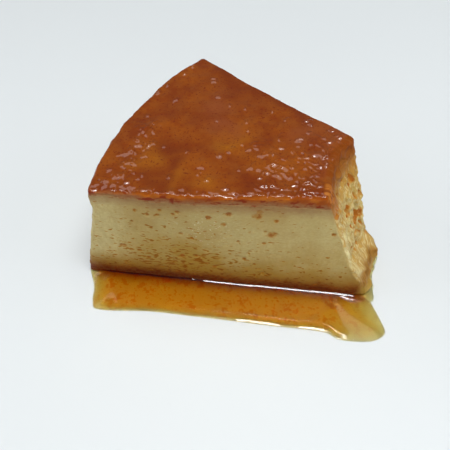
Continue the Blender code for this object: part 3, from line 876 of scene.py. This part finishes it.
def caramel_material():
    """Wet caramel: mottled orange-brown under a thin clear coat, with patches of painted reflection haze.
    """
    s = Shader("caramel_look")
    inner = s.attribute("inner")
    side = s.attribute("side")
    mottle = s.noise(0.0035, 4.0, 0.6)
    speck = s.noise(0.0007)
    body = s.coats(
        (0.178, 0.03, 0.001),
        (s.range(s.noise(0.012, 3.0, 0.55), 0.3, 0.7), (0.265, 0.063, 0.0021)),
        (s.range(mottle, 0.45, 0.7, 0.0, 0.6), (0.232, 0.058, 0.006)),
        (s.range(mottle, 0.47, 0.34, 0.0, 0.5), (0.19, 0.029, 0.001)),
        (s.times(s.attribute("ochre"), 0.8), (0.3, 0.092, 0.003)),
        (s.times(s.attribute("dark"), 0.8), (0.15, 0.022, 0.001)),
        # The haze coat is a painted reflection: a greyish sheen on the glossy top
        (s.times(s.attribute("haze"), 0.7), (0.225, 0.056, 0.014)),
        (s.range(speck, 0.61, 0.68, 0.0, 0.75), (0.13, 0.014, 0.001)),
    )

    streak = s.noise(0.003, 3.0, 0.6, (1.6, 1.6, 0.7))
    band = s.blend(s.range(streak, 0.35, 0.65), (0.27, 0.052, 0.002), (0.37, 0.098, 0.006))
    body = s.blend(side, body, line_colours(s, s.attribute("above"), (0.3, 0.17, 0.06), band))
    wall, _ = wall_colours(s)
    body = s.blend(s.range(inner, 0.15, 0.85), body, wall)

    bump = s.bump(s.noise(0.0012), 0.00005, 0.5)
    wet = s.times(s.range(side, 0.0, 0.8, 1.0, 0.12), s.range(inner, 0.0, 0.6, 1.0, 0.1))
    s.set(Base_Color=body, Normal=bump, Roughness=s.range(mottle, 0.3, 0.7, 0.5, 0.65))
    s.set(Coat_Weight=wet, Coat_Roughness=0.05, Coat_IOR=1.55, Specular_IOR_Level=0.04)
    return s.material


def syrup_material():
    """Clear amber syrup: what lies under it shows through, darker where it is deeper. Specks and clots
    of caramel float in it. Beside the slice, a painted shade and a painted reflection of its dark foot
    darken the syrup.
    """
    s = Shader("syrup_look")
    deep = s.attribute("deep")
    fine = s.range(s.noise(0.0007), 0.62, 0.68, 0.0, 0.8)
    clot = s.range(s.noise(0.0027, 3.0, 0.62), 0.55, 0.62, 0.0, 0.7)
    speck = s.times(s.math("MAXIMUM", fine, clot), deep)
    tint = s.blend(speck, s.blend(deep, (0.95, 0.89, 0.45), (1.0, 1.0, 1.0)), (0.66, 0.2, 0.09))
    # Painted shade and painted reflection of the slice's dark foot, darkest beside the slice
    tint = s.blend(s.attribute("wall_shade"), tint, (0.34, 0.085, 0.016))
    s.set(Base_Color=tint, Roughness=0.02, IOR=1.45, Transmission_Weight=1.0)
    absorption = s.add("VolumeAbsorption", {"Color": (0.988, 0.806, 0.0, 1.0), "Density": 1250.0})
    s.plug(s.tree.nodes["Material Output"].inputs["Volume"], absorption.outputs[0])
    return s.material


def cut_tones(points, z):
    """Where the custard is pale or golden, where glints are painted, and where caramel dashes crowd."""
    radius, _ = polar(points)
    tones = {key: clouds(radius, z, places) for key, places in TONE_CLOUDS.items()}
    for radii, heights, share in PALE_ZONES:
        tones["pale"] = np.maximum(tones["pale"], share * fade(radius, *radii) * fade(z, *heights))
    return tones


def custard_body(material):
    """The custard up to the caramel, with a flat base."""
    u, v = perimeter()
    top = interface_height(u, v)
    count = len(u)
    steps = np.arange(CUSTARD_RINGS) / (CUSTARD_RINGS - 1)
    z = (mix(steps, steps**2, RING_CROWDING)[:, None] * top[None, :]).ravel()
    below = np.tile(top, CUSTARD_RINGS) - z
    points, _, facts = surface(np.tile(u, CUSTARD_RINGS), np.tile(v, CUSTARD_RINGS), z, below=below)
    facts.update(cut_tones(points, z), below=below)
    facts["crowd"] *= 1.0 - facts["inner"]
    vertices = np.vstack((points, points[-count:].mean(0)))
    last = len(vertices) - 1
    start = last - count
    faces = [tuple(range(count - 1, -1, -1))] + bands(CUSTARD_RINGS, count)
    faces += [(start + k, start + (k + 1) % count, last) for k in range(count)]
    facts = {key: np.append(values, 0.0) for key, values in facts.items()}
    return mesh_object("custard_body", vertices, faces, material, facts)


def loose_marks():
    """Short random ridges like the named ones, most of them in the rough patches."""
    draw = np.random.default_rng(12)
    radius = draw.uniform(*LOOSE_RADII, LOOSE_MARKS)
    angle = draw.uniform(BACK_CUT, FRONT_CUT, LOOSE_MARKS)
    places = np.stack((radius * np.cos(angle), radius * np.sin(angle)), 1)
    length = draw.uniform(*LOOSE_LENGTHS, LOOSE_MARKS)
    degrees = draw.uniform(*LOOSE_DEGREES, LOOSE_MARKS)
    keep = draw.uniform(0.0, 1.0, LOOSE_MARKS) < mix(LOOSE_ELSEWHERE, 1.0, patches(places, ROUGH_PATCHES))
    return [(*places[k], length[k], degrees[k]) for k in np.flatnonzero(keep)]


def top_relief(points):
    """How far the top rises above its plane: swells, bumps, and wrinkles and ridges in rough patches."""
    rough = np.minimum(1.0, ROUGH_GAIN * patches(points, ROUGH_PATCHES))
    heights = lumps(points, TOP_SWELL, 23.3) + lumps(points, TOP_BUMP, 29.1)
    ridge = 1.0 - WRINKLE_SHARPNESS * abs(lumps(points, WRINKLE, 61.0))
    heights += WRINKLE_DEPTH * np.maximum(0.0, ridge) * rough
    heights += lumps(points, FINE_WRINKLE, 67.0) * mix(FINE_WRINKLE_BASE, 1.0, rough)
    bend_x = lumps(points, MARK_BEND, 101.0)
    bend_y = lumps(points, MARK_BEND, 103.0)
    for x, y, half_length, degrees in MARKS + tuple(loose_marks()):
        cos, sin = math.cos(math.radians(degrees)), math.sin(math.radians(degrees))
        dx = points[:, 0] + bend_x - x
        dy = points[:, 1] + bend_y - y
        along = abs(dx * cos + dy * sin) / half_length
        across = (dy * cos - dx * sin) / MARK_WIDTH
        height = mix(*MARK_HEIGHT, y / MARK_BACK)
        heights += height * np.exp(-(across**2)) * smooth_step(2.0 - 1.5 * along)
    return heights


def crown(u, v, turn):
    """Points of the caramel's rounded edge, from turn 0 on its side to a quarter turn on its top."""
    z = np.full(len(u), HEIGHT - TOP_ROUND * (1.0 - math.sin(turn)))
    points, _, facts = surface(u, v, z, TOP_ROUND * (1.0 - math.cos(turn)), below=-HEIGHT)
    front_gap = v * polar(points)[0] * (FRONT_CUT - BACK_CUT)
    scallops = lumps(points, CREST_SCALLOP, 71.0) + lumps(points, CREST_NICK, 73.0)
    heights = top_relief(points) + fade(front_gap, CREST_REACH, 0.0) * scallops
    points[:, 2] += smooth_step(math.sin(turn)) * heights
    return points, facts


def caramel_glaze(material):
    """The caramel layer: its sides, its rounded edge and its top."""
    u, v = perimeter()
    count = len(u)
    low = interface_height(u, v)
    shoulder = HEIGHT - TOP_ROUND
    parts = []
    for k in range(CARAMEL_RINGS):
        z = mix(low, shoulder, k / CARAMEL_RINGS)
        points, _, facts = surface(u, v, z, below=low - z)
        parts.append((points, dict(facts, above=z - low, side=np.ones(count))))
    for k in range(FILLET_RINGS + 1):
        points, facts = crown(u, v, 0.5 * math.pi * k / FILLET_RINGS)
        side = np.full(count, smooth_step(1.2 - 1.2 * k / FILLET_RINGS))
        parts.append((points, dict(facts, above=points[:, 2] - low, side=side)))

    rows, columns = np.meshgrid(np.arange(1, RADIAL_STEPS), np.arange(1, ANGLE_STEPS), indexing="ij")
    u_in = crowded(RADIAL_STEPS)[rows.ravel()]
    v_in = crowded(ANGLE_STEPS)[columns.ravel()]
    points, facts = crown(u_in, v_in, 0.5 * math.pi)
    parts.append((points, dict(facts, above=np.full(len(u_in), FAR_ABOVE), side=np.zeros(len(u_in)))))

    rim = (CARAMEL_RINGS + FILLET_RINGS) * count
    index = np.zeros((RADIAL_STEPS + 1, ANGLE_STEPS + 1), int)
    index[1:-1, 1:-1] = rim + count + np.arange(len(u_in)).reshape(RADIAL_STEPS - 1, ANGLE_STEPS - 1)
    index[:-1, 0] = rim + np.arange(RADIAL_STEPS)
    index[-1, :-1] = rim + RADIAL_STEPS + np.arange(ANGLE_STEPS)
    index[:0:-1, -1] = rim + RADIAL_STEPS + ANGLE_STEPS + np.arange(RADIAL_STEPS)
    index[0, :0:-1] = rim + 2 * RADIAL_STEPS + ANGLE_STEPS + np.arange(ANGLE_STEPS)
    cap = np.stack((index[:-1, :-1], index[1:, :-1], index[1:, 1:], index[:-1, 1:]), 2)

    vertices = np.vstack([points for points, _ in parts] + [parts[0][0].mean(0)])
    last = len(vertices) - 1
    faces = bands(CARAMEL_RINGS + FILLET_RINGS + 1, count) + cap.reshape(-1, 4).tolist()
    faces += [((k + 1) % count, k, last) for k in range(count)]
    keys = ("inner", "pit", "strands", "arc", "across", "run", "above", "side")
    facts = {key: np.append(np.concatenate([facts[key] for _, facts in parts]), 0.0) for key in keys}
    warped = vertices.copy()
    warped[:, 0] += lumps(vertices, PATCH_WARP, 79.0)
    warped[:, 1] += lumps(vertices, PATCH_WARP, 83.0)
    channel = np.exp(-((distance_to_path(warped, DARK_CHANNEL) / CHANNEL_REACH) ** 2))
    facts["dark"] = np.maximum(patches(warped, DARK_PATCHES), channel)
    facts["ochre"] = patches(warped, OCHRE_PATCHES)
    # The haze share says where the painted reflection goes
    facts["haze"] = patches(warped, PAINTED_SHEEN_PATCHES)
    return mesh_object("caramel_glaze", vertices, faces, material, facts)


def curve_through(points, t):
    """Points of a smooth curve through the given ones, at fractions t of its spans."""
    points = np.array(points)
    spans = len(points) - 1
    k = np.minimum(spans - 1, (t * spans).astype(int))
    s = (t * spans - k)[:, None]
    before, start, end, after = (points[np.clip(k + j, 0, spans)] for j in (-1, 0, 1, 2))
    return 0.5 * (
        2.0 * start
        + (end - before) * s
        + (2.0 * before - 5.0 * start + 4.0 * end - after) * s**2
        + (3.0 * start - before - 3.0 * end + after) * s**3
    )


def hem_edge(u, v):
    """Outline of the syrup beside the slice's hidden sides, where u or v is at an end of its range."""
    points, outward, _ = surface(u, v, np.full(len(u), CONTACT_HEM))
    share = 0.5 + lumps(points, (0.5, HEM_LUMP), 4.0)
    share = share * np.where(u == 0.0, smooth_step(v / HEM_OUTER_START), 1.0)
    outer, back, inner = (mix(*widths, share) for widths in (HEM_OUTER, HEM_BACK, HEM_INNER))
    inner = inner + HEM_TOE * smooth_step(1.0 - v / HEM_TOE_END)
    width = SYRUP_GAP + np.where(u == 0.0, outer, np.where(u == 1.0, inner, back))
    return (points + outward * width[:, None])[:, :2]


def arc_share(x):
    """Where the pool's front edge bulges, from 0 to 1."""
    share = np.zeros(len(x))
    for middle, reach in EDGE_ARCS:
        share = np.maximum(share, smooth_step(1.6 - 1.6 * abs(x - middle) / reach))
    return share


def edge_profile(x, inset, width):
    """The pool's height near its edge as a share of its depth: a thin film and then a steep step, which
    bulges in arcs at the front, and spreads out thin at the left end and in the lobe at the right end.
    """
    left = fade(x, *LEFT_X)
    lobe = fade(x, *LOBE_X)
    arc = arc_share(x) * (1.0 - lobe)

    def rise(taper, *shape):
        return np.interp(inset / np.minimum(taper, 0.6 * width + 0.0002), *shape)

    bulge = np.interp(inset + ARC_SHIFT * (1.0 - arc), *ARC_RISE)
    profile = mix(rise(*EDGE_RISE), bulge, smooth_step(3.0 * arc))
    profile = mix(profile, rise(*LEFT_RISE), left)
    return mix(profile, rise(*LOBE_RISE), lobe)


def front_share(u, v):
    """How much of the pool's depth there is along the slice: all at the front, little by the toe's side."""
    inner_end = mix(TOE_CLIMB, 1.0, smooth_step((1.0 - u) / INNER_CLIMB_END))
    front = np.minimum(smooth_step(u / OUTER_CLIMB_END), inner_end)
    toe_side = np.where(u == 1.0, TOE_CLIMB * smooth_step(1.0 - v / TOE_CLIMB_END), 0.0)
    return np.where(v > 0.0, toe_side, front)


def syrup(material):
    """The pool in front of the slice and the narrow hem round its other sides."""
    u, v = perimeter(SYRUP_FRONT_STEPS, SYRUP_SIDE_STEPS)
    count = len(u)
    edge = hem_edge(u, v)
    front = (v == 0.0) & (u > 0.0) & (u < 1.0)
    ends = hem_edge(np.array((0.0, 1.0)), np.zeros(2))
    edge[front] = curve_through([ends[0], *POOL_EDGE, ends[1]], u[front])

    share = front_share(u, v)
    contact = mix(HEM_CLIMB, CONTACT_FRONT, share)
    depth = mix(HEM_FILM, POOL_DEPTH, share)
    foot, outward, _ = surface(u, v, np.zeros(count))
    wall, _, _ = surface(u, v, contact)
    foot -= outward * SYRUP_OVERLAP
    wall -= outward * SYRUP_OVERLAP
    width = np.hypot(*(edge - wall[:, :2]).T)
    outline = np.vstack((edge, edge[:1]))[::2]
    foreshore = np.vstack((wall[:, :2], wall[:1, :2]))[::2]
    rings = [foot, wall]
    wall_shade = [np.zeros(count)] * 2
    deep = [np.zeros(count)] * 2
    for step in crowded(SYRUP_RUN_STEPS, SYRUP_CROWDING)[1:]:
        place = mix(wall[:, :2], edge, step)
        off = distance_to_path(place, foreshore)
        profile = edge_profile(place[:, 0], distance_to_path(place, outline), width)
        climb = (contact - depth) * np.interp(off / CLIMB_WIDTH, *CLIMB_RISE)
        z = (depth + climb) * profile
        rings.append(np.column_stack((place, z if step < 1.0 else np.zeros(count))))
        # Share of the painted shade and painted reflection, fading away from the slice
        wall_shade.append(share * smooth_step(1.0 - off / WALL_SHADE_WIDTH))
        deep.append(profile * share)
    faces = [face[::-1] for face in bands(len(rings), count, closed=True)]
    facts = {"wall_shade": np.concatenate(wall_shade), "deep": np.concatenate(deep)}
    return mesh_object("syrup", np.vstack(rings), faces, material, facts)


def make_pieces():
    """Each fine piece rides with the part, and the solid that it shows is hidden."""
    for piece, node, slot in (
        (custard_body(custard_material()), "custard", "custard"),
        (caramel_glaze(caramel_material()), "caramel_top", "caramel"),
        (syrup(syrup_material()), "syrup_pool", "syrup"),
    ):
        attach(piece, "root")
        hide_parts(node)


def make_floor():
    s = Shader("floor_look")
    s.set(Base_Color=FLOOR_COLOUR, Roughness=0.55)
    corners = FLOOR_REACH * np.array(((-1, -1, 0), (1, -1, 0), (1, 1, 0), (-1, 1, 0)))
    corners[:, 2] = FLOOR_LEVEL
    floor = mesh_object("floor", corners, [(0, 1, 2, 3)], s.material)


def softbox(name, place, size, radiance, aim_x):
    """A rectangular light that looks as bright whatever its size."""
    light = bpy.data.lights.new(name, "AREA")
    light.shape = "RECTANGLE"
    light.size, light.size_y = size
    light.energy = radiance * math.pi * size[0] * size[1]
    obj = add_object(name, light)
    obj.location = place
    towards = Vector((aim_x, 0.0, AIM_HEIGHT)) - Vector(place)
    obj.rotation_euler = towards.to_track_quat("-Z", "Y").to_euler()


def make_lights():
    world = bpy.data.worlds.new("room")
    world.use_nodes = True
    background = world.node_tree.nodes["Background"]
    background.inputs["Color"].default_value = ROOM_COLOUR
    background.inputs["Strength"].default_value = ROOM_STRENGTH
    bpy.context.scene.world = world
    for light in LIGHTS:
        softbox(*light)


def make_camera():
    """A camera that looks down at the slice, turned a little about its line of sight."""
    camera = bpy.data.cameras.new("camera")
    camera.lens = LENS
    camera.sensor_width = SENSOR_WIDTH
    camera.clip_start = 0.01
    obj = add_object("camera", camera)
    tilt = Matrix.Rotation(0.5 * math.pi - CAMERA_ELEVATION, 4, "X")
    roll = Matrix.Rotation(CAMERA_ROLL, 4, "Z")
    away = Matrix.Translation((0.0, 0.0, CAMERA_DISTANCE))
    obj.matrix_world = Matrix.Translation(LOOK_AT) @ tilt @ roll @ away
    bpy.context.scene.camera = obj
    bpy.context.scene.view_settings.view_transform = "Standard"


make_camera()
make_lights()
make_floor()
make_pieces()
